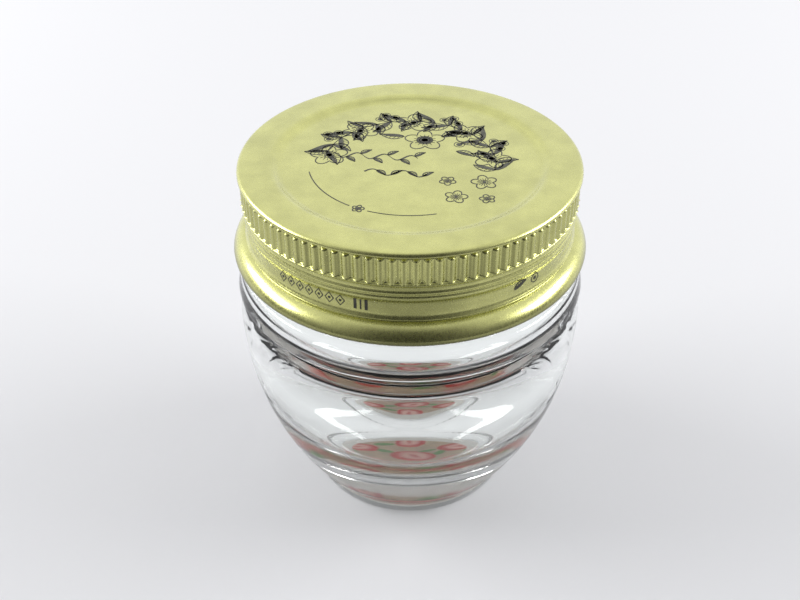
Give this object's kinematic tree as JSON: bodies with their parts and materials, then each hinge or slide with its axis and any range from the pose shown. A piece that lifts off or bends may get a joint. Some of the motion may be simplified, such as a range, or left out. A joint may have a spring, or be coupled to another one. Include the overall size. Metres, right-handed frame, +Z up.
{
  "type": "small glass preserving jar",
  "caption": "Small round jar of clear pressed glass with a bulging body and a collar, shut with a one-piece metal screw lid with a ribbed skirt and a rolled curl.",
  "frame": {"origin": "centre of the foot ring, on the plane the jar stands on", "axes": "+Z up along the jar's axis, -Y towards the front"},
  "size_m": [0.0622, 0.0622, 0.068],
  "materials": {
    "clear_glass": "clear pressed glass",
    "gold_lacquer": "gold-green lacquer, satin",
    "label_paper": "printed kraft paper, matt"
  },
  "bodies": {
    "root": {"glass_jar": "clear_glass", "lid": "gold_lacquer", "base_label": "label_paper"}
  },
  "joints": []
}
